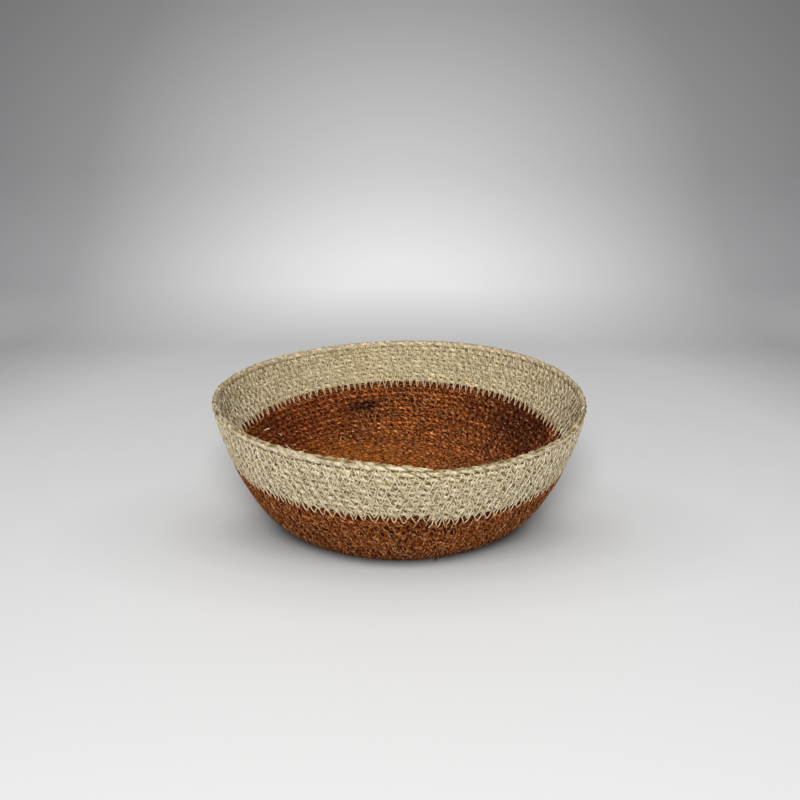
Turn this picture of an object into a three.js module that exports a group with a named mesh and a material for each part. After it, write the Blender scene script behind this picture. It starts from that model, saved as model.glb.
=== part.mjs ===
// Coiled bowl basket. A twisted grass cord is wound from the middle of the base out to the rim and
// sewn turn to turn with a zigzag thread. The base and lower wall are rust, the upper wall natural.
// Millimetres, +Z up, origin at the middle of the base on the floor, +X to the right of the front view.
import * as THREE from 'three';

// Bowl
const rimDiameter = 300; // outside of the rim cord
const overallHeight = 98.5; // floor to the top of the rim, before lean and saddle
const baseDiameter = 181; // flat part of the base
const heelRadius = 36; // bend of the cord's middle from the base into the wall
const rimWallAngle = 82; // degrees from level where the wall reaches the rim
const rimEndAngle = -82; // degrees from +X where the cord ends on the rim

// Hand-made unevenness of the rim
const rimLean = 2.4; // rise on the high side
const rimLeanAngle = -80; // degrees from +X to the high side
const rimSaddle = 2; // rise of the two high places across the rim
const rimSaddleAngle = 36; // degrees from +X to the first high place

// Cord
const cordDiameter = 5.3; // rust cord, across the ridges of its six-sided section
const naturalDiameter = 4.5; // natural cord, measured the same way
const turnGap = 0.75; // air between the sides of neighbouring turns
const pressedFlat = 0.52; // depth that the base cord is pressed flat underneath
const pressedWidth = 3; // width of that flat
const baseShoulder = 0.8; // height of the base cord's sides above its middle
const middleHole = 3.3; // diameter left open in the middle of the base
const stepsPerTurn = 20;
const naturalTurns = 9; // turns of natural cord, back from the rim
const buttGap = 0.3; // air between two cord ends that meet
const rimTip = 1.8; // thickness of the tapered end on the rim

// Sewing thread
const threadThickness = 0.9;
const threadSeat = 0.3; // air between the thread and the cords it lies on
const stitchPitch = 6.8; // length of one V along the row
const stitchStart = 0.4; // turns from the middle of the upper cord down to the top of a V
const stitchDrop = 1.5; // height of a V in turns
const rustRowBelow = 2; // turns from the colour change down to the rust row

const radians = THREE.MathUtils.degToRad;
const flatsRatio = Math.cos(Math.PI / 6); // across the flats of a six-sided section, to across its ridges
const cordRadius = cordDiameter / 2;
const naturalRadius = naturalDiameter / 2;
const cordFlats = cordDiameter * flatsRatio;
const turnPitch = cordFlats + turnGap;
const naturalPitch = naturalDiameter * flatsRatio + turnGap;
const joinPitch = (naturalPitch + turnPitch) / 2;
const threadRadius = threadThickness / 2;

// Side view of the bowl along the middle of the cord: flat base, heel arc, long wall arc.
// The wall arc is tangent to the heel and meets the rim at the rim's own angle. On a steep bowl it
// bends outwards: its radius is negative and its centre lies outside the wall.
const baseRadius = baseDiameter / 2;
const baseLevel = cordRadius - pressedFlat;
const rimRadius = rimDiameter / 2 - naturalRadius;
const rimLevel = overallHeight - naturalRadius;
const rimSlope = radians(rimWallAngle);
const heelCentre = new THREE.Vector2(baseRadius, baseLevel + heelRadius);
const rimMiddle = new THREE.Vector2(rimRadius, rimLevel);
const rimInward = new THREE.Vector2(-Math.sin(rimSlope), Math.cos(rimSlope));
const heelToRim = rimMiddle.clone().sub(heelCentre);
const wallRadius = (heelRadius ** 2 - heelToRim.lengthSq()) / (2 * (heelToRim.dot(rimInward) + heelRadius));
const wallCentre = rimMiddle.clone().addScaledVector(rimInward, wallRadius);
const wallBend = Math.sign(wallRadius - heelRadius);
const tangentLine = heelCentre.clone().sub(wallCentre).multiplyScalar(wallBend);
const heelSlope = Math.atan2(tangentLine.x, -tangentLine.y);
const heelLength = heelRadius * heelSlope;
const wallLength = wallRadius * (rimSlope - heelSlope);
const profileLength = baseRadius + heelLength + wallLength;

// Radius, height and slope of the cord's middle at a distance from the centre of the base.
function profileAt(distance) {
  if (distance <= baseRadius) return { radius: distance, level: baseLevel, slope: 0 };
  const onHeel = distance <= baseRadius + heelLength;
  const slope = onHeel
    ? (distance - baseRadius) / heelRadius
    : heelSlope + (distance - baseRadius - heelLength) / wallRadius;
  const centre = onHeel ? heelCentre : wallCentre;
  const arcRadius = onHeel ? heelRadius : wallRadius;
  return {
    radius: centre.x + arcRadius * Math.sin(slope),
    level: centre.y - arcRadius * Math.cos(slope),
    slope,
  };
}

// Distance along the profile at a number of turns back from the rim. The first natural turn lies on
// rust cord, so its pitch is half way between the two.
const joinDistance = profileLength - naturalPitch * (naturalTurns - 1) - joinPitch;
function coilDistance(turns) {
  if (turns > naturalTurns) return joinDistance - turnPitch * (turns - naturalTurns);
  if (turns > naturalTurns - 1) return joinDistance + joinPitch * (naturalTurns - turns);
  return profileLength - naturalPitch * turns;
}

// Turns back from the rim at a distance along the rust part of the profile.
function rustTurnsAt(distance) {
  return naturalTurns + (joinDistance - distance) / turnPitch;
}

// A step of the coil, counted in turns back from its end on the rim, and a number of turns below it.
// out points to the outside and underside of the bowl, up along the wall to the rim.
function stepPlace(turns, turnsBelow) {
  const angle = radians(rimEndAngle) - 2 * Math.PI * turns;
  const { radius, level, slope } = profileAt(coilDistance(turns + turnsBelow));
  const growth = (level - baseLevel) / (rimLevel - baseLevel);
  const lean = rimLean * Math.cos(angle - radians(rimLeanAngle));
  const saddle = rimSaddle * Math.cos(2 * (angle - radians(rimSaddleAngle)));
  const radial = new THREE.Vector3(Math.cos(angle), Math.sin(angle), 0);
  const upright = new THREE.Vector3(0, 0, 1);
  return {
    middle: radial.clone().multiplyScalar(radius).setZ(level + growth * (lean + saddle)),
    out: radial.clone().multiplyScalar(Math.sin(slope)).addScaledVector(upright, -Math.cos(slope)),
    up: radial.clone().multiplyScalar(Math.cos(slope)).addScaledVector(upright, Math.sin(slope)),
  };
}

// Any place on the coil, which runs straight between its steps.
function coilPlace(turns, turnsBelow = 0) {
  const step = Math.floor(turns * stepsPerTurn);
  const share = turns * stepsPerTurn - step;
  const near = stepPlace(step / stepsPerTurn, turnsBelow);
  const far = stepPlace((step + 1) / stepsPerTurn, turnsBelow);
  return {
    middle: near.middle.lerp(far.middle, share),
    out: near.out.lerp(far.out, share),
    up: near.up.lerp(far.up, share),
  };
}

// A section's corners, each as [out, up] from the middle, set at a place on the coil.
function ringAt(place, section) {
  return section.map(([out, up]) =>
    place.middle.clone().addScaledVector(place.out, out).addScaledVector(place.up, up));
}

// Closed tube through rings of equally many corners, with flat ends.
function tubeGeometry(rings) {
  const sides = rings[0].length;
  const last = (rings.length - 1) * sides;
  const corners = [];
  for (let ring = 0; ring < rings.length - 1; ring += 1) {
    for (let side = 0; side < sides; side += 1) {
      const a = ring * sides + side;
      const b = ring * sides + ((side + 1) % sides);
      corners.push(a, b + sides, b, a, a + sides, b + sides);
    }
  }
  for (let side = 1; side < sides - 1; side += 1) {
    corners.push(0, side, side + 1);
    corners.push(last, last + side + 1, last + side);
  }
  const geometry = new THREE.BufferGeometry().setFromPoints(rings.flat());
  geometry.setIndex(corners);
  geometry.computeVertexNormals();
  return geometry;
}

// Least distance between corners of turns that lie beside each other.
function leastTurnGap(rings) {
  let least = Infinity;
  for (let ring = 0; ring < rings.length; ring += 1) {
    for (let other = ring + Math.floor(stepsPerTurn / 2); other < rings.length; other += 1) {
      for (const corner of rings[ring]) {
        for (const neighbour of rings[other]) least = Math.min(least, corner.distanceTo(neighbour));
      }
    }
  }
  return least;
}

// Six-sided cord with ridges to the inside and outside of the bowl, and flat sides to its neighbours.
function cordSection(radius) {
  const corners = [];
  for (let side = 0; side < 6; side += 1) {
    const angle = (side * Math.PI) / 3;
    corners.push([radius * Math.cos(angle), radius * Math.sin(angle)]);
  }
  return corners;
}

// Base cord, pressed flat where it lies on the floor.
const baseSection = [
  [baseLevel, pressedWidth / 2],
  [-baseShoulder, cordFlats / 2],
  [-cordRadius, 0],
  [-baseShoulder, -cordFlats / 2],
  [baseLevel, -pressedWidth / 2],
];

// Rim end: the cord thins to its tip and stays down on the turn below.
function tipSection() {
  const thinning = rimTip / naturalDiameter;
  const drop = (1 - thinning) * naturalRadius * flatsRatio;
  return cordSection(naturalRadius).map(([out, up]) => [out * thinning, up * thinning - drop]);
}

// Turns back from the rim at which a length of cord has steps, from its inner end to its outer end.
function stepsBetween(innerTurns, outerTurns) {
  const turns = [innerTurns];
  for (let step = Math.ceil(innerTurns * stepsPerTurn) - 1; step > outerTurns * stepsPerTurn; step -= 1) {
    turns.push(step / stepsPerTurn);
  }
  return [...turns, outerTurns];
}

const grassCord = (color) => new THREE.MeshStandardMaterial({ color, roughness: 0.85, metalness: 0 });
const sewingThread = (color) => new THREE.MeshStandardMaterial({ color, roughness: 0.7, metalness: 0 });
const basket = new THREE.Group();

function addMesh(name, rings, material) {
  const mesh = new THREE.Mesh(tubeGeometry(rings), material);
  mesh.name = name;
  basket.add(mesh);
}

function addCoil(name, rings, color) {
  addMesh(name, rings, grassCord(color));
  console.log(`${name}: least gap between turns ${leastTurnGap(rings).toFixed(2)} mm`);
}

// Where one length of cord gives way to the next, in whole steps back from the rim.
// The base coil runs on up the heel until a cord that isn't pressed flat clears the floor.
const clearingSlope = Math.acos(1 - pressedFlat / heelRadius);
const clearingDistance = baseRadius + heelRadius * clearingSlope;
const baseEndTurns = Math.floor(rustTurnsAt(clearingDistance) * stepsPerTurn) / stepsPerTurn;
const middleTurns = rustTurnsAt((middleHole + cordFlats) / 2);

// Turns taken up by the gap at a butt joint.
function buttTurns(turns) {
  return buttGap / (2 * Math.PI * profileAt(coilDistance(turns)).radius);
}

// Flat rust coil of the base, from the middle outwards, never below the floor.
const baseRings = stepsBetween(middleTurns, baseEndTurns + buttTurns(baseEndTurns)).map((turns) =>
  ringAt(coilPlace(turns), baseSection).map((corner) => corner.setZ(Math.max(corner.z, 0))));
addCoil('base_coil', baseRings, 0x8a4a22);

// Rust coil of the lower wall.
const lowerRings = stepsBetween(baseEndTurns, naturalTurns + buttTurns(naturalTurns)).map((turns) =>
  ringAt(coilPlace(turns), cordSection(cordRadius)));
addCoil('lower_wall_coil', lowerRings, 0x7d3f1e);

// Natural coil of the upper wall, up to and with the rim, where the last step thins to the tip.
const upperRings = stepsBetween(naturalTurns, 0).map((turns) =>
  ringAt(coilPlace(turns), turns > 0 ? cordSection(naturalRadius) : tipSection()));
addCoil('upper_wall_coil', upperRings, 0xcdbd95);

// One row of zigzag stitching over a junction between turns, on one face of the wall.
// face is 1 on the outside and -1 on the inside; the row starts at a turn and runs on for one turn.
function stitchRow(name, face, rowTurns, color) {
  const rowRadius = profileAt(coilDistance(rowTurns)).radius;
  const legs = 2 * Math.round((2 * Math.PI * rowRadius) / stitchPitch);
  const steepness = (stitchDrop * turnPitch * legs) / (2 * Math.PI * rowRadius);
  const seatOut = cordRadius + threadSeat + threadRadius / 2;
  const halfHeight = threadRadius * Math.sin(Math.PI / 3) * Math.hypot(1, steepness);
  const section = [
    [face * (seatOut + threadRadius), 0],
    [face * (seatOut - threadRadius / 2), face * halfHeight],
    [face * (seatOut - threadRadius / 2), -face * halfHeight],
  ];
  const rings = [];
  for (let leg = 0; leg <= legs; leg += 1) {
    const below = stitchStart + (leg % 2 === 0 ? 0 : stitchDrop);
    const place = coilPlace(rowTurns - leg / legs, below);
    rings.push(ringAt(place, section));
  }
  addMesh(name, rings, sewingThread(color));
}

// Natural thread that sews the first natural turn to the last rust one.
stitchRow('joining_thread_outside', 1, naturalTurns, 0xd9cba8);
stitchRow('joining_thread_inside', -1, naturalTurns, 0xd9cba8);

// Rust thread, as it runs along the lower wall.
stitchRow('rust_thread_outside', 1, naturalTurns + rustRowBelow, 0x9c5a30);
stitchRow('rust_thread_inside', -1, naturalTurns + rustRowBelow, 0x9c5a30);

export default basket;
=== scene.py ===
# Coiled bowl basket, sewn turn to turn from twisted grass cord.
# Metres, +Z up, origin at the middle of the base on the floor, -Y towards the viewer.
import math

import bpy
import numpy as np
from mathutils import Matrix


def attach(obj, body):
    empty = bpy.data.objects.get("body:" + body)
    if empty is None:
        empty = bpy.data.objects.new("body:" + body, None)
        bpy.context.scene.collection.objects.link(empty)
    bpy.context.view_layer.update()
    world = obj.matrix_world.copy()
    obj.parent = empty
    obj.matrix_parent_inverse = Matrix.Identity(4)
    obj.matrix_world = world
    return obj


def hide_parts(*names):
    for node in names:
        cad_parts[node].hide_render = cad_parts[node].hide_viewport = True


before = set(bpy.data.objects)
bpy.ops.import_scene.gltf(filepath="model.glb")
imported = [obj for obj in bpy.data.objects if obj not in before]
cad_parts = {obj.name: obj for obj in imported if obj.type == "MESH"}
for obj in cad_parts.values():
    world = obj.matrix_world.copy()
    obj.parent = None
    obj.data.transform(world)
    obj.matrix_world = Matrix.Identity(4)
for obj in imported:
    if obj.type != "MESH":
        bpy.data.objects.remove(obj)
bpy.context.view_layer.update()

# Base coil.
# The real piece is the start of one long rust-dyed cord, two plies of twisted dry grass. It is wound
# flat from the middle outwards and pressed flat underneath, where the bowl stands on it.
rim_diameter = 0.300
overall_height = 0.0985
base_diameter = 0.181
heel_radius = 0.036
rim_wall_angle = math.radians(82)
rim_end_angle = math.radians(-82)
rim_lean, rim_lean_angle = 0.0024, math.radians(-80)
rim_saddle, rim_saddle_angle = 0.002, math.radians(36)
cord_radius, natural_radius = 0.00265, 0.00225
flats_ratio = math.cos(math.pi / 6)
turn_gap = 0.00075
turn_pitch = 2 * cord_radius * flats_ratio + turn_gap
natural_pitch = 2 * natural_radius * flats_ratio + turn_gap
join_pitch = (natural_pitch + turn_pitch) / 2
pressed_flat = 0.00052
middle_hole = 0.0033
natural_turns = 9.0
steps_per_turn = 20

base_radius = base_diameter / 2
base_level = cord_radius - pressed_flat
rim_level = overall_height - natural_radius
heel_centre = np.array([base_radius, base_level + heel_radius])
rim_middle = np.array([rim_diameter / 2 - natural_radius, rim_level])
rim_inward = np.array([-math.sin(rim_wall_angle), math.cos(rim_wall_angle)])
heel_to_rim = rim_middle - heel_centre
wall_radius = (heel_radius ** 2 - heel_to_rim @ heel_to_rim) / (2 * (heel_to_rim @ rim_inward + heel_radius))
wall_centre = rim_middle + rim_inward * wall_radius
tangent_line = heel_centre - wall_centre
heel_slope = math.atan2(tangent_line[0], -tangent_line[1])
heel_length = heel_radius * heel_slope
profile_length = base_radius + heel_length + wall_radius * (rim_wall_angle - heel_slope)
clearing_distance = base_radius + heel_radius * math.acos(1 - pressed_flat / heel_radius)
join_distance = profile_length - natural_pitch * (natural_turns - 1) - join_pitch
wall_turns = natural_turns + (join_distance - clearing_distance) / turn_pitch
base_end_turns = math.floor(wall_turns * steps_per_turn) / steps_per_turn
middle_turns = natural_turns + (join_distance - middle_hole / 2 - cord_radius * flats_ratio) / turn_pitch


def coil_distance(turns):
    """Distance from the middle of the base along the wall, at turns back from the rim end."""
    return (profile_length - natural_pitch * np.minimum(turns, natural_turns - 1)
            - join_pitch * np.clip(turns - natural_turns + 1, 0, 1)
            - turn_pitch * np.maximum(turns - natural_turns, 0))


def coil_place(turns, turns_below=0.0):
    """Middle of the cord, way out through the wall and way up along it, at turns back from the rim end."""
    angle = rim_end_angle - 2 * np.pi * turns
    distance = coil_distance(turns + turns_below)
    on_wall = distance > base_radius + heel_length
    slope = np.where(on_wall, heel_slope + (distance - base_radius - heel_length) / wall_radius,
                     np.maximum(distance - base_radius, 0) / heel_radius)
    arc = np.where(on_wall, wall_radius, heel_radius)
    radius = np.where(on_wall, wall_centre[0], heel_centre[0]) + arc * np.sin(slope)
    radius = np.where(distance < base_radius, distance, radius)
    level = np.where(on_wall, wall_centre[1], heel_centre[1]) - arc * np.cos(slope)
    growth = (level - base_level) / (rim_level - base_level)
    level = level + growth * (rim_lean * np.cos(angle - rim_lean_angle)
                              + rim_saddle * np.cos(2 * (angle - rim_saddle_angle)))
    radial = np.stack([np.cos(angle), np.sin(angle), np.zeros_like(angle)], 1)
    upright = np.array([0.0, 0.0, 1.0])
    sine, cosine = np.sin(slope)[:, None], np.cos(slope)[:, None]
    middle = radial * radius[:, None] + upright * level[:, None]
    return middle, radial * sine - upright * cosine, radial * cosine + upright * sine


def path_along(inner_turns, outer_turns, spacing, turns_below=0.0, tip_length=0.0, rim_swell=0.0, recess=0.0):
    """Line along the coil with evenly spaced points that know their length, outside, upside and fullness.
    The last tip_length thins out, after a last turn fuller by rim_swell; recess is how much the last turn is
    thinner through the wall."""
    survey_points = 40000
    swell_run, recess_run = 0.15, 0.04
    tip_fullness = 0.22
    fine = np.linspace(inner_turns, outer_turns, survey_points)
    middle = coil_place(fine, turns_below)[0]
    length = np.concatenate([[0], np.cumsum(np.linalg.norm(np.diff(middle, axis=0), axis=1))])
    count = int(length[-1] / spacing)
    along = np.arange(count + 1) * spacing
    turns = np.interp(along, length, fine)
    middle, out, up = coil_place(turns, turns_below)
    fullness = 1 + rim_swell * np.clip((outer_turns + 1 - turns) / swell_run, 0, 1)
    if tip_length:
        to_end = np.clip((along[-1] - along) / tip_length, 0, 1)
        fullness *= tip_fullness + (1 - tip_fullness) * np.sin(to_end * np.pi / 2)
        middle = middle - up * (natural_radius * (1 - fullness))[:, None]
    depth = 1 - recess * np.clip((outer_turns + 1 + recess_run - turns) / recess_run, 0, 1)
    mesh = bpy.data.meshes.new("path")
    mesh.from_pydata(middle.tolist(), [(i, i + 1) for i in range(count)], [])
    for name, values in (("out", out), ("up", up)):
        mesh.attributes.new(name, "FLOAT_VECTOR", "POINT").data.foreach_set("vector", values.ravel())
    for name, values in (("along", along), ("fullness", fullness), ("depth", depth)):
        mesh.attributes.new(name, "FLOAT", "POINT").data.foreach_set("value", values)
    return mesh


def add_node(tree, kind, inputs=(), **settings):
    """A node with its settings, and its inputs linked to sockets or set to values."""
    node = tree.nodes.new(kind)
    for name, value in settings.items():
        setattr(node, name, value)
    for key, value in dict(inputs).items():
        if isinstance(value, bpy.types.NodeSocket):
            tree.links.new(value, node.inputs[key])
        else:
            node.inputs[key].default_value = value
    return node


def calc(tree, operation, *terms):
    """Result of a number sum."""
    return add_node(tree, "ShaderNodeMath", enumerate(terms), operation=operation).outputs[0]


def vector_calc(tree, operation, *terms):
    """Result of a vector sum; a scaling has its number as the second term."""
    places = (0, 3) if operation == "SCALE" else range(len(terms))
    return add_node(tree, "ShaderNodeVectorMath", zip(places, terms), operation=operation).outputs[0]


def vector_measure(tree, operation, *terms):
    """Length, distance or dot product of vectors, as a number."""
    return add_node(tree, "ShaderNodeVectorMath", enumerate(terms), operation=operation).outputs["Value"]


def start_tree(name, sizes):
    """An empty geometry tree with named inputs, and its input sockets."""
    tree = bpy.data.node_groups.new(name, "GeometryNodeTree")
    tree.interface.new_socket("Geometry", in_out="INPUT", socket_type="NodeSocketGeometry")
    for label, kind in sizes.items():
        tree.interface.new_socket(label, in_out="INPUT", socket_type="NodeSocket" + kind)
    tree.interface.new_socket("Geometry", in_out="OUTPUT", socket_type="NodeSocketGeometry")
    return tree, tree.nodes.new("NodeGroupInput").outputs


def end_tree(tree, shape, material):
    """Closes a tree with realised, smooth geometry in its material."""
    realised = add_node(tree, "GeometryNodeRealizeInstances", {0: shape}).outputs[0]
    smooth = add_node(tree, "GeometryNodeSetShadeSmooth", {0: realised}).outputs[0]
    finished = add_node(tree, "GeometryNodeSetMaterial", {0: smooth, "Material": material}).outputs[0]
    add_node(tree, "NodeGroupOutput", {0: finished})


def read_attribute(tree, name, data_type="FLOAT"):
    """A value that the geometry carries with it."""
    return add_node(tree, "GeometryNodeInputNamedAttribute", {"Name": name}, data_type=data_type).outputs[0]


def noise_from(tree, vector, detail=0.0):
    """Smooth noise from 0 to 1 over a vector that is already scaled."""
    return add_node(tree, "ShaderNodeTexNoise", {"Vector": vector, "Scale": 1.0, "Detail": detail}).outputs[0]


def above_ground(tree, shape):
    """The shape, with whatever reaches below the ground pressed flat on it."""
    place = add_node(tree, "GeometryNodeInputPosition").outputs[0]
    held = vector_calc(tree, "MAXIMUM", place, (-1.0, -1.0, 0.0))
    return add_node(tree, "GeometryNodeSetPosition", {0: shape, "Position": held}).outputs[0]


def section_outline(tree, sides, size, groove=0.0, half_turn=math.pi):
    """Outline of a strand, which carries its place round the strand as a vector.
    Over half_turn to each side it is round, with its flanks drawn in by groove, and flat behind."""
    flank_power = 4.0
    circle = add_node(tree, "GeometryNodeCurvePrimitiveCircle", {
        "Resolution": sides, "Radius": 1.0}).outputs[0]
    position = add_node(tree, "GeometryNodeInputPosition").outputs[0]
    parts = add_node(tree, "ShaderNodeSeparateXYZ", {0: position}).outputs
    turn = calc(tree, "MULTIPLY", calc(tree, "ARCTAN2", parts[1], parts[0]), half_turn / math.pi)
    across = calc(tree, "SINE", turn)
    flank = calc(tree, "POWER", calc(tree, "ABSOLUTE", across), flank_power)
    drawn = calc(tree, "SUBTRACT", 1.0, calc(tree, "MULTIPLY", flank, groove))
    place = add_node(tree, "ShaderNodeCombineXYZ", {0: calc(tree, "COSINE", turn), 1: across}).outputs[0]
    carried = add_node(tree, "GeometryNodeStoreNamedAttribute", {0: circle, "Name": "round", "Value": place},
                       data_type="FLOAT_VECTOR").outputs[0]
    around = read_attribute(tree, "round", "FLOAT_VECTOR")
    where = vector_calc(tree, "SCALE", around, calc(tree, "MULTIPLY", drawn, size))
    return add_node(tree, "GeometryNodeSetPosition", {0: carried, "Position": where}).outputs[0]


cord_lay = 0.0155
blade_turns_per_lay = 0.8
blade_winding = blade_turns_per_lay * 2 * math.pi


def twisted_cord_tree():
    """Plies of grass that wind round the cord's own line, ridged by their blades.
    Blades in the heart of the cord are squeezed against the next turn, and close the wall between plies."""
    tree, given = start_tree("Twisted grass cord", {
        "Cord Diameter": "Float", "Lay Length": "Float", "Plies": "Int", "Sides": "Int", "Groove": "Float",
        "Turn Pitch": "Float", "Blade Ridge": "Float", "Inside Depth": "Float", "Outside Depth": "Float",
        "Unevenness": "Float", "Seed": "Float", "Material": "Material"})
    along = read_attribute(tree, "along")
    curve = add_node(tree, "GeometryNodeMeshToCurve", {0: given["Geometry"]}).outputs[0]
    place = add_node(tree, "GeometryNodeInputPosition").outputs[0]
    lined = add_node(tree, "GeometryNodeStoreNamedAttribute", {0: curve, "Name": "middle", "Value": place},
                     data_type="FLOAT_VECTOR").outputs[0]
    copies = add_node(tree, "GeometryNodeDuplicateElements", {
        0: lined, "Amount": given["Plies"]}, domain="SPLINE")
    plied = add_node(tree, "GeometryNodeStoreNamedAttribute",
                     {0: copies.outputs[0], "Name": "ply", "Value": copies.outputs[1]}).outputs[0]
    ply = read_attribute(tree, "ply")

    drift_rate, drift_lays = 32.0, 0.7
    drift_place = add_node(tree, "ShaderNodeCombineXYZ", {
        0: calc(tree, "MULTIPLY", along, drift_rate), 1: given["Seed"]}).outputs[0]
    drift = calc(tree, "SUBTRACT", noise_from(tree, drift_place, 1.0), 0.5)
    even_lays = calc(tree, "DIVIDE", along, given["Lay Length"])
    lays = calc(tree, "ADD", even_lays, calc(tree, "MULTIPLY", drift, drift_lays))
    share = calc(tree, "SUBTRACT", calc(tree, "DIVIDE", ply, given["Plies"]), lays)
    angle = calc(tree, "MULTIPLY", share, 2 * math.pi)
    out, up = read_attribute(tree, "out", "FLOAT_VECTOR"), read_attribute(tree, "up", "FLOAT_VECTOR")
    facing = vector_calc(tree, "ADD", vector_calc(tree, "SCALE", out, calc(tree, "COSINE", angle)),
                         vector_calc(tree, "SCALE", up, calc(tree, "SINE", angle)))
    turned = add_node(tree, "GeometryNodeSetCurveNormal", {
        0: plied, "Normal": facing}, mode="FREE").outputs[0]

    swell_rate, swell_ply_step = 95.0, 9.0
    ply_half_turn = math.radians(124)
    swell_place = add_node(tree, "ShaderNodeCombineXYZ", {
        0: calc(tree, "MULTIPLY", along, swell_rate),
        1: calc(tree, "ADD", calc(tree, "MULTIPLY", ply, swell_ply_step), given["Seed"])}).outputs[0]
    swell = calc(tree, "SUBTRACT", noise_from(tree, swell_place, 2.0), 0.5)
    swollen = calc(tree, "ADD", calc(tree, "MULTIPLY", swell, given["Unevenness"]), 1.0)
    strand_scale = calc(tree, "MULTIPLY", swollen, read_attribute(tree, "fullness"))
    outline = section_outline(tree, given["Sides"], calc(tree, "MULTIPLY", given["Cord Diameter"], 0.5),
                              given["Groove"], ply_half_turn)
    strand = add_node(tree, "GeometryNodeCurveToMesh", {
        0: turned, 1: outline, "Scale": strand_scale, "Fill Caps": True}).outputs[0]

    blade_rate, blade_ply_step, blades_across = 210.0, 31.0, 2.3
    winding = calc(tree, "DIVIDE", calc(tree, "MULTIPLY", along, blade_winding), given["Lay Length"])
    around = add_node(tree, "ShaderNodeVectorRotate", {
        "Vector": read_attribute(tree, "round", "FLOAT_VECTOR"), "Angle": winding},
        rotation_type="Z_AXIS").outputs[0]
    run = calc(tree, "ADD", calc(tree, "MULTIPLY", along, blade_rate),
               calc(tree, "MULTIPLY", ply, blade_ply_step))
    lengthways = add_node(tree, "ShaderNodeCombineXYZ", {0: given["Seed"], 2: run}).outputs[0]
    blade_place = vector_calc(tree, "ADD", vector_calc(tree, "SCALE", around, blades_across), lengthways)
    blades = noise_from(tree, blade_place, 1.0)
    lift = calc(tree, "MULTIPLY", calc(tree, "SUBTRACT", blades, 0.5), given["Blade Ridge"])
    normal = add_node(tree, "GeometryNodeInputNormal").outputs[0]
    ridged = add_node(tree, "GeometryNodeSetPosition", {
        0: strand, "Offset": vector_calc(tree, "SCALE", normal, lift)}).outputs[0]

    from_middle = vector_calc(tree, "SUBTRACT", place, read_attribute(tree, "middle", "FLOAT_VECTOR"))
    through = vector_measure(tree, "DOT_PRODUCT", from_middle, out)
    inner_half = add_node(tree, "FunctionNodeCompare", {0: through, 1: 0.0}, operation="LESS_THAN").outputs[0]
    half_depth = add_node(tree, "GeometryNodeSwitch", {
        "Switch": inner_half, "False": given["Outside Depth"], "True": given["Inside Depth"]},
        input_type="FLOAT").outputs[0]
    squeezed = calc(tree, "MULTIPLY", read_attribute(tree, "depth"), half_depth)
    pull = calc(tree, "MULTIPLY", through, calc(tree, "SUBTRACT", squeezed, 1.0))
    thinned = add_node(tree, "GeometryNodeSetPosition", {
        0: ridged, "Offset": vector_calc(tree, "SCALE", out, pull)}).outputs[0]

    heart_spacing, heart_height, heart_depth = 0.006, 1.08, 0.32
    half_pitch = calc(tree, "MULTIPLY", given["Turn Pitch"], 0.5)
    sparse = add_node(tree, "GeometryNodeResampleCurve", {
        0: lined, "Length": heart_spacing}, mode="LENGTH").outputs[0]
    upright = add_node(tree, "GeometryNodeSetCurveNormal", {0: sparse, "Normal": up}, mode="FREE").outputs[0]
    sliver = add_node(tree, "GeometryNodeTransform", {
        0: add_node(tree, "GeometryNodeCurvePrimitiveCircle", {"Resolution": 4, "Radius": 1.0}).outputs[0],
        "Scale": add_node(tree, "ShaderNodeCombineXYZ", {
            0: calc(tree, "MULTIPLY", half_pitch, heart_height),
            1: calc(tree, "MULTIPLY", half_pitch, heart_depth), 2: 1.0}).outputs[0]}).outputs[0]
    heart = add_node(tree, "GeometryNodeCurveToMesh", {
        0: upright, 1: sliver, "Scale": read_attribute(tree, "fullness"), "Fill Caps": True}).outputs[0]

    whole = tree.nodes.new("GeometryNodeJoinGeometry")
    for part in (thinned, heart):
        tree.links.new(above_ground(tree, part), whole.inputs[0])
    shape = whole.outputs[0]
    for label, way in (("across", up), ("face", out)):
        reach = vector_measure(tree, "DOT_PRODUCT", from_middle, way)
        shape = add_node(tree, "GeometryNodeStoreNamedAttribute", {
            0: shape, "Name": label, "Value": calc(tree, "DIVIDE", reach, half_pitch)}).outputs[0]
    end_tree(tree, shape, given["Material"])
    return tree


def make_piece(name, path, tree, sizes):
    """Runs a tree on a path, and keeps what it makes as a plain mesh at the origin."""
    piece = bpy.data.objects.new(name, path)
    bpy.context.scene.collection.objects.link(piece)
    making = piece.modifiers.new("Making", "NODES")
    making.node_group = tree
    for socket in tree.interface.items_tree:
        if socket.in_out == "INPUT" and socket.name in sizes:
            making[socket.identifier] = sizes[socket.name]
    depsgraph = bpy.context.evaluated_depsgraph_get()
    made = bpy.data.meshes.new_from_object(
        piece.evaluated_get(depsgraph), preserve_all_data_layers=True, depsgraph=depsgraph)
    piece.modifiers.clear()
    piece.data = made
    made.name = name
    bpy.data.meshes.remove(path)
    return piece


def shade_read(tree, name, output="Fac"):
    """A value of the mesh, as a shader reads it."""
    return add_node(tree, "ShaderNodeAttribute", attribute_name=name).outputs[output]


def map_range(tree, value, low, high, to_low, to_high):
    """A value moved from one range to another, and held inside it."""
    places = {0: value, 1: low, 2: high, 3: to_low, 4: to_high}
    return add_node(tree, "ShaderNodeMapRange", places).outputs[0]


def mix_colour(tree, blend, share, below, above):
    """Two colours laid over each other."""
    places = {0: share, 6: below, 7: above}
    return add_node(tree, "ShaderNodeMix", places, data_type="RGBA", blend_type=blend).outputs[2]


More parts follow.
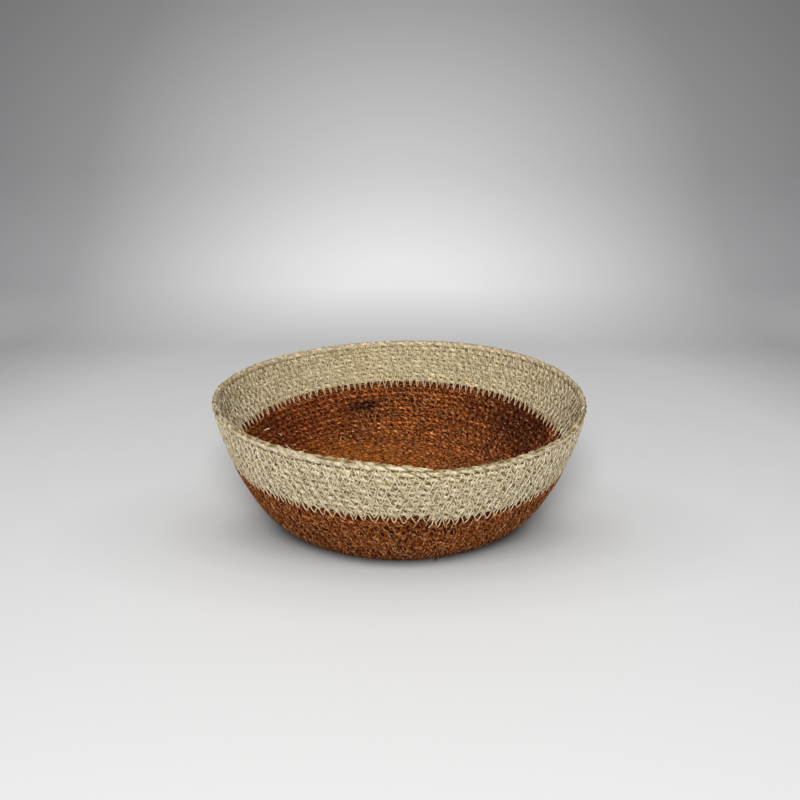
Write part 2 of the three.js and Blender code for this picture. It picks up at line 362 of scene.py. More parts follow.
def colour_ramp(tree, value, stops):
    """Colours along a value."""
    node = add_node(tree, "ShaderNodeValToRGB", {0: value})
    ramp = node.color_ramp
    while len(ramp.elements) < len(stops):
        ramp.elements.new(1.0)
    for element, (place, colour) in zip(ramp.elements, stops):
        element.position = place
        element.color = (*colour, 1.0)
    return node.outputs[0]


def new_material(name):
    """A new material, its nodes and its surface shader."""
    material = bpy.data.materials.new(name)
    material.use_nodes = True
    return material, material.node_tree, material.node_tree.nodes["Principled BSDF"]


def dyed_and_lit_places(tree, place, colour, dye_and_light_spots, streak=0.0):
    """The colour, changed in ragged places where more or less dye was taken up, or where light is painted on,
    streak by streak. The spots give each place, its reach along x, y and z, its share and its colour."""
    ragged_rate, raggedness = 40.0, 1.6
    ragged_place = vector_calc(tree, "SCALE", place, ragged_rate)
    ragged = calc(tree, "SUBTRACT", noise_from(tree, ragged_place, 3.0), 0.5)
    for spot, reach, share, dye_colour in dye_and_light_spots:
        inward = vector_calc(tree, "DIVIDE", vector_calc(tree, "SUBTRACT", place, spot), reach)
        away = vector_measure(tree, "LENGTH", inward)
        away = calc(tree, "ADD", calc(tree, "ADD", away, calc(tree, "MULTIPLY", ragged, raggedness)), streak)
        dyed = map_range(tree, away, 0.45, 1.1, share, 0.0)
        colour = mix_colour(tree, "MIX", dyed, colour, dye_colour)
    return colour


def painted_heel_shade(tree, place, colour):
    """The colour, with painted shade on the outside of the turns nearest to the ground, where the heel gets
    little light.
    """
    heel_shade_colour, heel_shade_share = (0.10, 0.08, 0.08, 1.0), 0.92
    flat_place = vector_calc(tree, "MULTIPLY", place, (1.0, 1.0, 0.0))
    radius = vector_measure(tree, "LENGTH", flat_place)
    height = add_node(tree, "ShaderNodeSeparateXYZ", {0: place}).outputs[2]
    past_base = calc(tree, "MAXIMUM", calc(tree, "SUBTRACT", radius, heel_centre[0]), 0.0)
    from_heel = add_node(tree, "ShaderNodeCombineXYZ", {
        0: past_base, 1: calc(tree, "SUBTRACT", heel_centre[1], height)}).outputs[0]
    from_heel = vector_measure(tree, "LENGTH", from_heel)
    outside = map_range(tree, from_heel, heel_radius - 0.0005, heel_radius + 0.0015, 0.0, 1.0)
    heel_darkening = calc(tree, "MULTIPLY", map_range(tree, height, 0.003, 0.015, heel_shade_share, 0.0), outside)
    heel_darkening = calc(tree, "MULTIPLY", heel_darkening, map_range(tree, radius, 0.078, 0.086, 0.0, 1.0))
    return mix_colour(tree, "MULTIPLY", heel_darkening, colour, heel_shade_colour)


def grass_cord_material(name, lay, grain_size, blade_colours, fleck_colour, fleck_share, pale_colour,
                        pale_share, patch_colour, patch_share, groove_shade_colour, row_shade_colour, inside_row_share,
                        relief_depth, stretch_tones, inside_tones, dye_and_light_spots=()):
    """Dry twisted grass: broken blades of their own tone, fine fibres along the ply, dark and pale flecks,
    dye patches and a painted pool of light on the bowl's floor, painted shade between plies and between
    turns, of which inside_row_share is left inside the bowl, a painted highlight on the rim turn, and painted
    shade on the outside of the heel.
    grain_size is how many blades there are across a ply's radius, and along a metre of it. stretch_tones and
    inside_tones are the darkest and lightest tone of whole stretches, and of short pieces inside the bowl."""
    material, tree, shader = new_material(name)
    along, ply = shade_read(tree, "along"), shade_read(tree, "ply")
    around = shade_read(tree, "round", "Vector")
    outward = add_node(tree, "ShaderNodeSeparateXYZ", {0: around}).outputs[0]
    winding = calc(tree, "MULTIPLY", along, blade_winding / lay)
    around = add_node(tree, "ShaderNodeVectorRotate", {"Vector": around, "Angle": winding},
                      rotation_type="Z_AXIS").outputs[0]
    place = add_node(tree, "ShaderNodeTexCoord").outputs["Object"]
    ply_step = 17.3

    def ply_noise(across, lengthways, detail=1.0):
        """Noise that winds with the blades, so many grains across a ply's radius and along a metre of it."""
        run = calc(tree, "ADD", calc(tree, "MULTIPLY", along, lengthways),
                   calc(tree, "MULTIPLY", ply, ply_step))
        grain = vector_calc(tree, "ADD", vector_calc(tree, "SCALE", around, across),
                            add_node(tree, "ShaderNodeCombineXYZ", {2: run}).outputs[0])
        return noise_from(tree, grain, detail)

    def cord_noise(rate):
        """Noise that changes along the cord alone, so many times a metre."""
        run = add_node(tree, "ShaderNodeCombineXYZ", {0: calc(tree, "MULTIPLY", along, rate)}).outputs[0]
        return noise_from(tree, run)

    blade = ply_noise(*grain_size, detail=3.0)
    fibre = ply_noise(10.0, 420.0, detail=3.0)
    strand = ply_noise(0.7, 75.0)
    tone = calc(tree, "ADD", calc(tree, "MULTIPLY", blade, 0.75), calc(tree, "MULTIPLY", strand, 0.25))
    colour = colour_ramp(tree, tone, blade_colours)
    colour = mix_colour(tree, "MULTIPLY", 1.0, colour, map_range(tree, fibre, 0.3, 0.7, 0.62, 1.38))

    patch_rate, stretch_rate, streak_rate = 26.0, 11.0, 27.0
    patch = noise_from(tree, vector_calc(tree, "SCALE", place, patch_rate), 3.0)
    patched = map_range(tree, patch, 0.5, 0.72, 0.0, patch_share)
    colour = mix_colour(tree, "MIX", patched, colour, patch_colour)
    stretch = map_range(tree, cord_noise(stretch_rate), 0.35, 0.65, *stretch_tones)
    colour = mix_colour(tree, "MULTIPLY", 1.0, colour, stretch)
    streak = map_range(tree, cord_noise(streak_rate), 0.3, 0.7, -0.35, 0.35)
    # Dye spots, and for the rust cord a painted pool of light on the bowl's floor.
    colour = dyed_and_lit_places(tree, place, colour, dye_and_light_spots, streak)
    fleck = map_range(tree, ply_noise(1.7, 450.0), 0.565, 0.645, 0.0, fleck_share)
    colour = mix_colour(tree, "MIX", fleck, colour, fleck_colour)
    pale = map_range(tree, ply_noise(2.1, 270.0), 0.58, 0.66, 0.0, pale_share)
    colour = mix_colour(tree, "MIX", pale, colour, pale_colour)

    rim_groove_share, rim_highlight_share = 0.6, 0.3
    face = shade_read(tree, "face")
    # Painted shade on the flanks of each ply, where it turns into the groove between plies, a little less
    # inside.
    groove = calc(tree, "MULTIPLY", map_range(tree, outward, 0.05, 0.6, 1.0, 0.0),
                  map_range(tree, face, -0.3, 0.3, 0.95, 1.0))
    # Painted highlight: the rim turn is paler where light catches its top, with less painted shade in its ply
    # grooves.
    rim_painted_light = map_range(tree, shade_read(tree, "fullness"), 1.05, 1.2, 0.0, 1.0)
    groove = calc(tree, "MULTIPLY", groove, map_range(tree, rim_painted_light, 0.0, 1.0, 1.0, rim_groove_share))
    colour = mix_colour(tree, "MULTIPLY", groove, colour, groove_shade_colour)
    colour = mix_colour(tree, "MIX", calc(tree, "MULTIPLY", rim_painted_light, rim_highlight_share), colour, pale_colour)

    # Painted shade between turns, in broken dashes, weaker inside the bowl by inside_row_share.
    broken = map_range(tree, ply_noise(0.4, 170.0), 0.38, 0.56, 0.35, 1.0)
    edge_start = map_range(tree, face, -0.3, 0.3, 0.36, 0.5)
    from_row = calc(tree, "ABSOLUTE", shade_read(tree, "across"))
    between_turns = calc(tree, "MULTIPLY", map_range(tree, from_row, edge_start, 0.92, 0.0, 1.0), broken)
    row_share = map_range(tree, face, -0.3, 0.3, inside_row_share, 1.0)
    row_shade = calc(tree, "MULTIPLY", between_turns, row_share)
    colour = mix_colour(tree, "MULTIPLY", row_shade, colour, row_shade_colour)
    # Painted shade on the recessed turn behind the joining stitches.
    painted_recess_shade = map_range(tree, shade_read(tree, "depth"), 0.55, 1.0, 0.55, 1.0)
    colour = mix_colour(tree, "MULTIPLY", 1.0, colour, painted_recess_shade)

    yellowed = (1.0, 0.98, 0.89, 1.0)
    on_inside = map_range(tree, face, -0.3, 0.3, 1.0, 0.0)
    inside_grain = map_range(tree, ply_noise(1.1, 260.0), 0.42, 0.58, *inside_tones)
    colour = mix_colour(tree, "MULTIPLY", on_inside, colour, inside_grain)
    colour = mix_colour(tree, "MULTIPLY", on_inside, colour, yellowed)
    # Painted shade on the outside of the heel, nearest to the ground.
    colour = painted_heel_shade(tree, place, colour)
    tree.links.new(colour, shader.inputs["Base Color"])
    tree.links.new(map_range(tree, fibre, 0.3, 0.7, 0.5, 0.8), shader.inputs["Roughness"])
    shader.inputs["Specular IOR Level"].default_value = 0.06
    relief = calc(tree, "ADD", calc(tree, "MULTIPLY", blade, 0.7), calc(tree, "MULTIPLY", fibre, 0.3))
    bump = add_node(tree, "ShaderNodeBump", {"Strength": 0.8, "Distance": relief_depth, "Height": relief})
    tree.links.new(bump.outputs[0], shader.inputs["Normal"])
    return material


cord_tree = twisted_cord_tree()
cord_sizes = {"Cord Diameter": 0.0058, "Lay Length": cord_lay, "Plies": 2, "Sides": 9, "Groove": 0.28,
              "Turn Pitch": turn_pitch, "Blade Ridge": 0.0026, "Inside Depth": 0.95, "Outside Depth": 0.9,
              "Unevenness": 0.4, "Seed": 3.0}
dye_and_light_spots = [((-0.036, 0.1222, 0.0335), (0.021, 0.014, 0.0085), 0.97, (0.020, 0.006, 0.004, 1.0)),
             ((0.079, 0.1045, 0.039), (0.018, 0.015, 0.0055), 0.85, (0.040, 0.005, 0.0055, 1.0)),
             ((0.118, 0.062, 0.042), (0.06, 0.065, 0.045), 0.76, (0.046, 0.0055, 0.0045, 1.0)),
             ((-0.105, 0.055, 0.030), (0.06, 0.08, 0.040), 0.6, (0.135, 0.019, 0.004, 1.0)),
             # The last place is no dye: it is a painted pool of light, lighter and more orange, on the floor
             # inside the bowl.
             ((-0.035, 0.045, 0.004), (0.07, 0.05, 0.025), 0.5, (0.38, 0.118, 0.010, 1.0))]
rust_grass = grass_cord_material(
    "rust_dyed_grass", cord_lay, grain_size=(2.3, 260.0),
    blade_colours=[(0.39, (0.045, 0.006, 0.0008)), (0.46, (0.17, 0.034, 0.0042)),
                   (0.53, (0.31, 0.077, 0.012)), (0.60, (0.56, 0.225, 0.080))],
    fleck_colour=(0.022, 0.004, 0.0012, 1.0), fleck_share=0.85,
    pale_colour=(0.60, 0.28, 0.13, 1.0), pale_share=0.6,
    patch_colour=(0.034, 0.0055, 0.0025, 1.0), patch_share=0.5,
    groove_shade_colour=(0.34, 0.24, 0.18, 1.0), row_shade_colour=(0.22, 0.13, 0.09, 1.0), inside_row_share=1.0,
    relief_depth=0.0014, stretch_tones=(0.62, 1.3), inside_tones=(0.74, 1.62), dye_and_light_spots=dye_and_light_spots)
curled_in_turns = 0.62
base_spacing = 0.0015
base_coil = make_piece(
    "base_coil_grass", path_along(middle_turns + curled_in_turns, base_end_turns, base_spacing), cord_tree,
    {**cord_sizes, "Material": rust_grass})
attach(base_coil, "root")
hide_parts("base_coil")

# Lower wall coil.
# The same rust cord runs on from the base round the heel and up the wall, each turn resting on the
# turn below it, until it meets the end of the natural cord.
lower_spacing = 0.00197
lower_wall = make_piece(
    "lower_wall_grass", path_along(base_end_turns, natural_turns, lower_spacing, recess=0.45), cord_tree,
    {**cord_sizes, "Seed": 8.0, "Material": rust_grass})
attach(lower_wall, "root")
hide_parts("lower_wall_coil")

# Upper wall coil.
# A thinner cord of the same grass, undyed, in the greys and yellows of drying. It takes over from the
# rust cord and ends on the rim, where its plies are thinned and sewn down on the turn below.
natural_lay = 0.019
upper_spacing = 0.0016
natural_grass = grass_cord_material(
    "natural_grass", natural_lay, grain_size=(1.8, 420.0),
    blade_colours=[(0.39, (0.50, 0.405, 0.225)), (0.46, (0.65, 0.55, 0.345)),
                   (0.53, (0.74, 0.64, 0.43)), (0.60, (0.79, 0.70, 0.50))],
    fleck_colour=(0.19, 0.135, 0.05, 1.0), fleck_share=0.75,
    pale_colour=(0.80, 0.67, 0.50, 1.0), pale_share=0.5,
    patch_colour=(0.58, 0.42, 0.25, 1.0), patch_share=0.55,
    groove_shade_colour=(0.50, 0.455, 0.33, 1.0), row_shade_colour=(0.27, 0.22, 0.11, 1.0), inside_row_share=0.3,
    relief_depth=0.0006, stretch_tones=(0.90, 1.06), inside_tones=(0.70, 1.22))
natural_path = path_along(natural_turns, 0.0, upper_spacing, tip_length=0.055, rim_swell=0.26)
upper_wall = make_piece(
    "upper_wall_grass", natural_path, cord_tree,
    {**cord_sizes, "Cord Diameter": 0.0055, "Lay Length": natural_lay, "Turn Pitch": natural_pitch,
     "Blade Ridge": 0.002, "Inside Depth": 0.52, "Outside Depth": 0.68, "Unevenness": 0.6, "Seed": 15.0,
     "Material": natural_grass})
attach(upper_wall, "root")
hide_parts("upper_wall_coil")

# Natural sewing thread.
# Undyed thread in a machine zigzag over every junction of the natural turns, and over the colour
# change. The needle thread shows outside, the bobbin thread inside, and they lock inside the cord.
stitch_length = 0.0068
points_per_stitch = 8


def zigzag_tree():
    """A thread that drops in a V from one turn over the next, lies on their crowns and is pulled in at
    its ends."""
    tree, given = start_tree("Zigzag stitching", {
        "Stitch Length": "Float", "V Share": "Float", "Top": "Float", "Bottom": "Float",
        "Turn Pitch": "Float", "Cord Radius": "Float", "Face": "Float", "Thread Thickness": "Float",
        "Unevenness": "Float", "Sides": "Int", "Seed": "Float", "Material": "Material"})
    along = read_attribute(tree, "along")
    out, up = read_attribute(tree, "out", "FLOAT_VECTOR"), read_attribute(tree, "up", "FLOAT_VECTOR")
    curve = add_node(tree, "GeometryNodeMeshToCurve", {0: given["Geometry"]}).outputs[0]

    def uneven_place(rate, offset):
        """Place for noise along the thread, so many times a metre."""
        return add_node(tree, "ShaderNodeCombineXYZ", {
            0: calc(tree, "MULTIPLY", along, rate), 1: given["Seed"], 2: offset}).outputs[0]

    def uneven(rate, offset):
        """Uneven length to both sides of 0."""
        noise = noise_from(tree, uneven_place(rate, offset), 2.0)
        return calc(tree, "MULTIPLY", calc(tree, "SUBTRACT", noise, 0.5), given["Unevenness"])

    pace_rate, pace_stitches = 22.0, 3.0
    half = calc(tree, "MULTIPLY", given["Stitch Length"], 0.5)
    pace = calc(tree, "MULTIPLY", noise_from(tree, uneven_place(pace_rate, 9.0), 2.0),
                calc(tree, "MULTIPLY", given["Stitch Length"], pace_stitches))
    rise = calc(tree, "DIVIDE", calc(tree, "PINGPONG", calc(tree, "ADD", along, pace), half), half)
    rest = calc(tree, "SUBTRACT", 1.0, given["V Share"])
    past_rest = calc(tree, "DIVIDE", calc(tree, "SUBTRACT", rise, rest), given["V Share"])
    swing = calc(tree, "MAXIMUM", past_rest, 0.0)

    level_rate, sideways_rate, crown_rise = 110.0, 170.0, 0.14
    travel = calc(tree, "SUBTRACT", given["Top"], given["Bottom"])
    level = calc(tree, "SUBTRACT", given["Top"], calc(tree, "MULTIPLY", swing, travel))
    level = calc(tree, "ADD", level, uneven(level_rate, 0.0))
    turns = calc(tree, "ADD", calc(tree, "DIVIDE", level, given["Turn Pitch"]), 0.5)
    ripple = calc(tree, "COSINE", calc(tree, "MULTIPLY", turns, 2 * math.pi))
    crown = calc(tree, "MULTIPLY", ripple, crown_rise)
    height = calc(tree, "MULTIPLY", calc(tree, "ADD", crown, 1 - crown_rise), given["Cord Radius"])
    pulled = calc(tree, "ADD", map_range(tree, swing, 0.0, 0.1, 1.0, 0.0),
                  map_range(tree, swing, 0.93, 1.0, 0.0, 1.0))
    height = calc(tree, "SUBTRACT", height, calc(tree, "MULTIPLY", pulled, given["Thread Thickness"]))
    height = calc(tree, "MULTIPLY", height, given["Face"])
    lengthways = vector_calc(tree, "CROSS_PRODUCT", out, up)
    sideways = vector_calc(tree, "SCALE", lengthways, uneven(sideways_rate, 5.0))
    move = vector_calc(tree, "ADD", vector_calc(tree, "SCALE", up, level),
                       vector_calc(tree, "SCALE", out, height))
    placed = add_node(tree, "GeometryNodeSetPosition",
                      {0: curve, "Offset": vector_calc(tree, "ADD", move, sideways)}).outputs[0]
    outline = section_outline(tree, given["Sides"], calc(tree, "MULTIPLY", given["Thread Thickness"], 0.5))
    thread = add_node(tree, "GeometryNodeCurveToMesh", {0: placed, 1: outline, "Fill Caps": True}).outputs[0]
    end_tree(tree, above_ground(tree, thread), given["Material"])
    return tree


def thread_material(name, shade, tone, light, fading, rubbed_length=0.0, spots=()):
    """Spun sewing thread, with its twist, painted shade along the twist's grooves, and fuzz; fading is how
    often in a metre its colour changes.
    Dye from the rust cord has rubbed off on the first rubbed_length of its row, and spots are as in
    dyed_and_lit_places."""
    thread_lay, fuzz_rate, rubbed_edge = 0.0016, 2600.0, 0.004
    rubbed_colour = (1.05, 0.84, 0.72, 1.0)
    material, tree, shader = new_material(name)
    along, around = shade_read(tree, "along"), shade_read(tree, "round", "Vector")
    parts = add_node(tree, "ShaderNodeSeparateXYZ", {0: around}).outputs
    turn = calc(tree, "ARCTAN2", parts[1], parts[0])
    wound = calc(tree, "MULTIPLY", along, 2 * math.pi / thread_lay)
    twist = calc(tree, "SINE", calc(tree, "ADD", wound, turn))
    place = add_node(tree, "ShaderNodeTexCoord").outputs["Object"]
    drift = noise_from(tree, vector_calc(tree, "SCALE", place, fading), 2.0)
    fuzz = noise_from(tree, vector_calc(tree, "SCALE", place, fuzz_rate), 2.0)
    colour = colour_ramp(tree, drift, [(0.3, shade), (0.5, tone), (0.7, light)])
    # Painted shade along the grooves of the thread's twist.
    colour = mix_colour(tree, "MULTIPLY", 1.0, colour, map_range(tree, twist, -1.0, 0.4, 0.72, 1.08))
    # The spots, of dye and of painted light, and painted shade on the outside of the heel.
    colour = painted_heel_shade(tree, place, dyed_and_lit_places(tree, place, colour, spots))
    if rubbed_length:
        rubbed = map_range(tree, along, rubbed_length, rubbed_length + rubbed_edge, 1.0, 0.0)
        colour = mix_colour(tree, "MULTIPLY", rubbed, colour, rubbed_colour)
    tree.links.new(colour, shader.inputs["Base Color"])
    tree.links.new(map_range(tree, fuzz, 0.3, 0.7, 0.65, 0.9), shader.inputs["Roughness"])
    shader.inputs["Specular IOR Level"].default_value = 0.08
    relief = calc(tree, "ADD", calc(tree, "MULTIPLY", twist, 0.5), fuzz)
    bump = add_node(tree, "ShaderNodeBump", {"Strength": 0.5, "Distance": 0.0002, "Height": relief})
    tree.links.new(bump.outputs[0], shader.inputs["Normal"])
    return material


def sewn_path(inner_turns, outer_turns):
    """Line along the junctions, half a turn below the cord's own line, with points for the zigzag."""
    return path_along(inner_turns, outer_turns, stitch_length / points_per_stitch, turns_below=0.5)


def outside_stitch(pitch):
    """Sizes of the needle thread's V on the outside, over turns of a pitch."""
    return {"Face": 1.0, "V Share": 0.8, "Top": 0.3 * pitch, "Bottom": -1.4 * pitch}


def inside_stitch(pitch, radius):
    """Sizes of the bobbin thread's V on the inside, over turns of a pitch, at a radius from their middle."""
    return {"Face": -1.0, "V Share": 0.38, "Top": 0.3 * pitch, "Bottom": -1.7 * pitch,
            "Thread Thickness": 0.00095, "Cord Radius": radius}


stitch_tree = zigzag_tree()
stitch_sizes = {"Stitch Length": stitch_length, "Unevenness": 0.0024, "Sides": 5}
colour_change_length = 0.86
last_sewn_turn = 0.02
natural_thread = thread_material(
    "natural_thread", shade=(0.58, 0.47, 0.29), tone=(0.72, 0.62, 0.42), light=(0.84, 0.75, 0.56),
    fading=160.0, rubbed_length=colour_change_length)
natural_sizes = {**stitch_sizes, "Turn Pitch": natural_pitch, "Cord Radius": 0.0021,
                 "Thread Thickness": 0.0009, "Material": natural_thread}
natural_outside = make_piece(
    "natural_thread_outside", sewn_path(natural_turns, last_sewn_turn), stitch_tree,
    {**natural_sizes, **outside_stitch(natural_pitch), "Seed": 2.0})
natural_inside = make_piece(
    "natural_thread_inside", sewn_path(natural_turns, last_sewn_turn), stitch_tree,
    {**natural_sizes, **inside_stitch(natural_pitch, 0.00185), "Seed": 21.0})
for piece, node in ((natural_outside, "joining_thread_outside"), (natural_inside, "joining_thread_inside")):
    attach(piece, "root")
    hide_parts(node)

# Rust sewing thread.
# The same zigzag in a thread a little lighter than the rust cord, from the middle of the base to the
# last rust turn, on the outside and underside, and on the inside and floor of the bowl.
first_sewn_turn = middle_turns - 1.6
rust_thread = thread_material(
    "rust_thread", shade=(0.11, 0.024, 0.004), tone=(0.31, 0.093, 0.020), light=(0.61, 0.30, 0.12),
    fading=330.0, spots=dye_and_light_spots)
rust_sizes = {**stitch_sizes, "Turn Pitch": turn_pitch, "Cord Radius": 0.00275, "Thread Thickness": 0.00085,
              "Material": rust_thread}
rust_outside = make_piece(
    "rust_thread_outside_sewn", sewn_path(first_sewn_turn, natural_turns), stitch_tree,
    {**rust_sizes, **outside_stitch(turn_pitch), "Seed": 33.0})
rust_inside = make_piece(
    "rust_thread_inside_sewn", sewn_path(first_sewn_turn, natural_turns), stitch_tree,
    {**rust_sizes, **inside_stitch(turn_pitch, 0.00205), "Seed": 47.0})
for piece, node in ((rust_outside, "rust_thread_outside"), (rust_inside, "rust_thread_inside")):
    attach(piece, "root")
    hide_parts(node)

# Loose fibres.
# Ends of grass that stand off the plies after twisting and sewing: short, thin and a little paler than
# the cord they come from, with some undyed ones caught in the rust turns.


def fibre_tree():
    """Bent slivers scattered over the open faces of a coil, lying mostly along its cord.
    Inside Share thins them out on the inside, and Outermost Facing leaves out faces that look further out."""
    tree, given = start_tree("Loose grass fibres", {
        "Count Per Area": "Float", "Inside Share": "Float", "Outermost Facing": "Float",
        "Fibre Length": "Float", "Fibre Thickness": "Float", "Seed": "Int", "Material": "Material"})
    least_facing = 0.35
    least_swing, most_swing = (0.0, -0.12, -1.3), (0.0, 0.03, 1.3)
    shortest, longest = 0.5, 1.3
    out, up = read_attribute(tree, "out", "FLOAT_VECTOR"), read_attribute(tree, "up", "FLOAT_VECTOR")
    normal = add_node(tree, "GeometryNodeInputNormal").outputs[0]
    facing = vector_measure(tree, "DOT_PRODUCT", normal, out)
    open_face = add_node(tree, "FunctionNodeCompare", {0: calc(tree, "ABSOLUTE", facing), 1: least_facing},
                         operation="GREATER_THAN").outputs[0]
    kept_face = add_node(tree, "FunctionNodeCompare", {0: facing, 1: given["Outermost Facing"]},
                         operation="LESS_THAN").outputs[0]
    open_face = add_node(tree, "FunctionNodeBooleanMath", {0: open_face, 1: kept_face},
                         operation="AND").outputs[0]
    inner_face = add_node(tree, "FunctionNodeCompare", {0: facing, 1: 0.0}, operation="LESS_THAN").outputs[0]
    share = add_node(tree, "GeometryNodeSwitch", {
        "Switch": inner_face, "False": 1.0, "True": given["Inside Share"]}, input_type="FLOAT").outputs[0]
    density = calc(tree, "MULTIPLY", given["Count Per Area"], share)
    scattered = add_node(tree, "GeometryNodeDistributePointsOnFaces", {
        0: given["Geometry"], "Selection": open_face, "Density": density, "Seed": given["Seed"]})

    lengthways = vector_calc(tree, "CROSS_PRODUCT", out, up)
    lying = add_node(tree, "FunctionNodeAxesToRotation", {
        0: scattered.outputs["Normal"], 1: lengthways}, primary_axis="Z", secondary_axis="X").outputs[0]
    swing = add_node(tree, "FunctionNodeRandomValue", {
        "Seed": given["Seed"], 0: least_swing, 1: most_swing}, data_type="FLOAT_VECTOR").outputs[0]
    turned = add_node(tree, "FunctionNodeRotateRotation", {0: lying, 1: swing},
                      rotation_space="LOCAL").outputs[0]
    bend = add_node(tree, "GeometryNodeCurveQuadraticBezier", {
        "Resolution": 4, "Start": (-0.5, 0.0, -0.02), "Middle": (0.0, 0.12, 0.1),
        "End": (0.5, -0.1, 0.06)}).outputs[0]
    two_lengths = calc(tree, "MULTIPLY", given["Fibre Length"], 2.0)
    section = add_node(tree, "GeometryNodeCurvePrimitiveCircle", {
        "Resolution": 3, "Radius": calc(tree, "DIVIDE", given["Fibre Thickness"], two_lengths)}).outputs[0]
    sliver = add_node(tree, "GeometryNodeCurveToMesh", {0: bend, 1: section, "Fill Caps": True}).outputs[0]
    length = add_node(tree, "FunctionNodeRandomValue", {
        2: shortest, 3: longest, "Seed": given["Seed"]}).outputs[1]
    scale = calc(tree, "MULTIPLY", length, given["Fibre Length"])
    fibres = add_node(tree, "GeometryNodeInstanceOnPoints", {
        0: scattered.outputs[0], "Instance": sliver, "Rotation": turned, "Scale": scale}).outputs[0]
    end_tree(tree, fibres, given["Material"])
    return tree


loose_tree = fibre_tree()
pale_fibre = thread_material(
    "natural_fibre", shade=(0.60, 0.48, 0.28), tone=(0.78, 0.67, 0.46), light=(0.90, 0.83, 0.66),
    fading=160.0)
rust_fibre = thread_material(
    "rust_fibre", shade=(0.06, 0.012, 0.002), tone=(0.29, 0.082, 0.015), light=(0.60, 0.28, 0.11),
    fading=330.0, spots=dye_and_light_spots)
caught_fibre = thread_material(
    "caught_fibre", shade=(0.66, 0.46, 0.26), tone=(0.80, 0.60, 0.36), light=(0.90, 0.74, 0.50),
    fading=160.0)
both_sides, inside_only = 1.1, 0.0
for name, coil, slot_name, sizes in (
        ("natural_fibres", upper_wall, "natural_cord", {
            "Count Per Area": 16000.0, "Inside Share": 1.0, "Outermost Facing": both_sides,
            "Fibre Length": 0.006, "Fibre Thickness": 0.00038, "Seed": 5, "Material": pale_fibre}),
        ("lower_wall_fibres", lower_wall, "rust_cord", {
            "Count Per Area": 7000.0, "Inside Share": 0.25, "Outermost Facing": both_sides,
            "Fibre Length": 0.006, "Fibre Thickness": 0.0006, "Seed": 6, "Material": rust_fibre}),
        ("base_fibres", base_coil, "rust_cord", {
            "Count Per Area": 14000.0, "Inside Share": 1.0, "Outermost Facing": inside_only,
            "Fibre Length": 0.0065, "Fibre Thickness": 0.0006, "Seed": 7, "Material": rust_fibre}),
        ("caught_fibres", lower_wall, "rust_cord", {
            "Count Per Area": 260.0, "Inside Share": 1.0, "Outermost Facing": inside_only,
            "Fibre Length": 0.006, "Fibre Thickness": 0.0009, "Seed": 11, "Material": caught_fibre})):
    fibres = make_piece(name, coil.data.copy(), loose_tree, sizes)
    for point in fibres.data.vertices:
        point.co.z = max(point.co.z, 0.0)
    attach(fibres, "root")

# Studio.
# A pale floor that sweeps up into a backdrop, with a painted glow on the backdrop behind the bowl, painted
# light that fades across the floor, and a painted shadow darkest at the bowl's foot. Soft light comes from
# the front and above.
sweep_start, sweep_radius, sweep_steps, backdrop_top = 0.45, 0.25, 12, 3.0
floor_reach = 12.0
sweep = [(-floor_reach, 0.0), (sweep_start, 0.0)]
for step in range(1, sweep_steps + 1):
    turn = step / sweep_steps * math.pi / 2
    sweep.append((sweep_start + sweep_radius * math.sin(turn), sweep_radius * (1 - math.cos(turn))))
sweep.append((sweep_start + sweep_radius, backdrop_top))
floor_mesh = bpy.data.meshes.new("floor")
floor_mesh.from_pydata([(x, y, z) for y, z in sweep for x in (-floor_reach, floor_reach)], [],
                       [(2 * i, 2 * i + 1, 2 * i + 3, 2 * i + 2) for i in range(len(sweep) - 1)])
for face in floor_mesh.polygons:
    face.use_smooth = True
floor = bpy.data.objects.new("floor", floor_mesh)
bpy.context.scene.collection.objects.link(floor)


def distance_colours(tree, place, stretch, centre, nearest, furthest, stops):
    """Colours by the distance of a place, stretched along its axes, from a centre."""
    stretched = vector_calc(tree, "MULTIPLY", place, stretch)
    distance = vector_measure(tree, "DISTANCE", stretched, centre)
    return colour_ramp(tree, map_range(tree, distance, nearest, furthest, 0.0, 1.0), stops)


def sight_ray(tree):
    """1 for a ray that shows the background to the camera, directly or in a glossy or clear surface."""
    rays = add_node(tree, "ShaderNodeLightPath").outputs
    shown = calc(tree, "MAXIMUM", rays["Is Camera Ray"], rays["Is Glossy Ray"])
    return calc(tree, "MAXIMUM", shown, rays["Is Transmission Ray"])


floor_paint, paint_tree, floor_shader = new_material("floor_paint")
paint_place = add_node(paint_tree, "ShaderNodeTexCoord").outputs["Object"]
height = add_node(paint_tree, "ShaderNodeSeparateXYZ", {0: paint_place}).outputs[2]
# Painted light on the backdrop: a glow behind the bowl that fades outwards, with painted shade higher up.
painted_backdrop_glow = distance_colours(
    paint_tree, paint_place, stretch=(0.9, 1.0, 1.0), centre=(0.0, 0.45, 0.15), nearest=0.2, furthest=1.1,
    stops=[(0.0, (0.93, 0.93, 0.94)), (0.4, (0.425, 0.425, 0.435)), (1.0, (0.19, 0.19, 0.20))])
painted_upper_shade = map_range(paint_tree, height, 0.1, 0.5, 1.0, 0.65)
painted_backdrop_glow = mix_colour(paint_tree, "MULTIPLY", 1.0, painted_backdrop_glow, painted_upper_shade)
# Painted light on the floor: lighter near the bowl, darker further off, and lighter again far away.
painted_floor_light = distance_colours(
    paint_tree, paint_place, stretch=(1.25, 0.75, 1.0), centre=(0.0, -0.075, 0.0), nearest=0.25,
    furthest=2.65, stops=[(0.0, (0.71, 0.71, 0.71)), (0.125, (0.70, 0.70, 0.70)),
                          (0.25, (0.48, 0.48, 0.49)), (1.0, (0.92, 0.92, 0.93))])
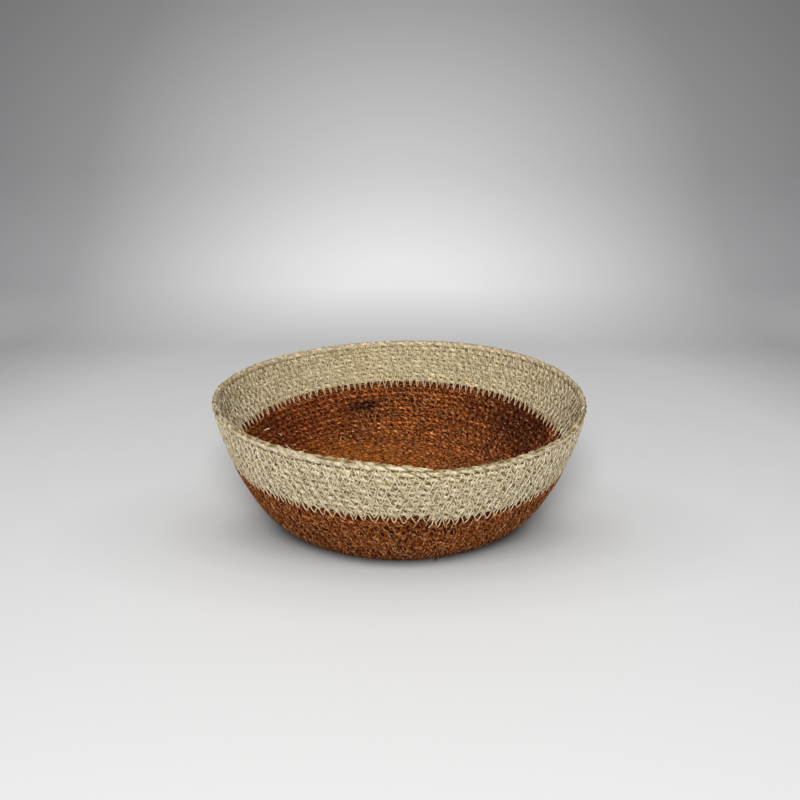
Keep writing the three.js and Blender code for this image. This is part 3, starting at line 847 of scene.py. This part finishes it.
# Painted shadow on the floor, darkest at the bowl's foot.
painted_foot_shadow = distance_colours(
    paint_tree, paint_place, stretch=(0.7, 1.8, 1.0), centre=(0.0, -0.108, 0.0), nearest=0.06, furthest=0.2,
    stops=[(0.0, (0.20, 0.19, 0.18)), (0.1, (0.50, 0.49, 0.48)), (0.3, (0.79, 0.785, 0.78)),
           (0.54, (0.92, 0.92, 0.92)), (1.0, (1.0, 1.0, 1.0))])
painted_floor_light = mix_colour(paint_tree, "MULTIPLY", 1.0, painted_floor_light, painted_foot_shadow)
on_backdrop = map_range(paint_tree, height, 0.0, 0.06, 0.0, 1.0)
seen_colour = mix_colour(paint_tree, "MIX", on_backdrop, painted_floor_light, painted_backdrop_glow)
# The floor's colour for bounced light takes the painted shadow at the bowl's foot twice, so that it paints
# shade on the heel too.
bounce_colour = (0.42, 0.42, 0.42, 1.0)
for foot_layer in range(2):
    bounce_colour = mix_colour(paint_tree, "MULTIPLY", 1.0, bounce_colour, painted_foot_shadow)
paint_colour = mix_colour(paint_tree, "MIX", sight_ray(paint_tree), bounce_colour, seen_colour)
paint_tree.links.new(paint_colour, floor_shader.inputs["Base Color"])
floor_shader.inputs["Roughness"].default_value = 0.9
floor_shader.inputs["Specular IOR Level"].default_value = 0.2
floor_mesh.materials.append(floor_paint)

scene = bpy.context.scene
studio = bpy.data.worlds.new("studio")
studio.use_nodes = True
studio_tree = studio.node_tree
fill = studio_tree.nodes["Background"]
fill.inputs["Color"].default_value = (1.0, 1.0, 1.0, 1.0)
fill.inputs["Strength"].default_value = 0.30
seen = add_node(studio_tree, "ShaderNodeBackground", {"Color": (0.42, 0.42, 0.43, 1.0), "Strength": 1.0})
shown = add_node(studio_tree, "ShaderNodeMixShader", {
    0: sight_ray(studio_tree), 1: fill.outputs[0], 2: seen.outputs[0]})
studio_tree.links.new(shown.outputs[0], studio_tree.nodes["World Output"].inputs["Surface"])
scene.world = studio

lamp_place, lamp_target = np.array([-0.04, -1.15, 1.15]), np.array([0.0, 0.0, 0.05])
lamp_away = lamp_place - lamp_target
lamp_tilt = math.acos(lamp_away[2] / np.linalg.norm(lamp_away))
key_lamp = bpy.data.lights.new("key_lamp", "AREA")
key_lamp.size = 0.9
key_lamp.energy = 26.5
lamp_object = bpy.data.objects.new("key_lamp", key_lamp)
lamp_object.location = lamp_place
lamp_object.rotation_euler = (lamp_tilt, 0, math.atan2(lamp_away[0], -lamp_away[1]))
scene.collection.objects.link(lamp_object)

camera_pitch = math.radians(21.147)
camera = bpy.data.cameras.new("camera")
camera.sensor_width = 36.0
camera.lens = 28.92
camera.clip_start = 0.01
camera_object = bpy.data.objects.new("camera", camera)
camera_object.location = (0.0, -0.5002, 0.2791)
camera_object.rotation_euler = (math.pi / 2 - camera_pitch, 0, 0)
scene.collection.objects.link(camera_object)
scene.camera = camera_object
scene.view_settings.view_transform = "Standard"
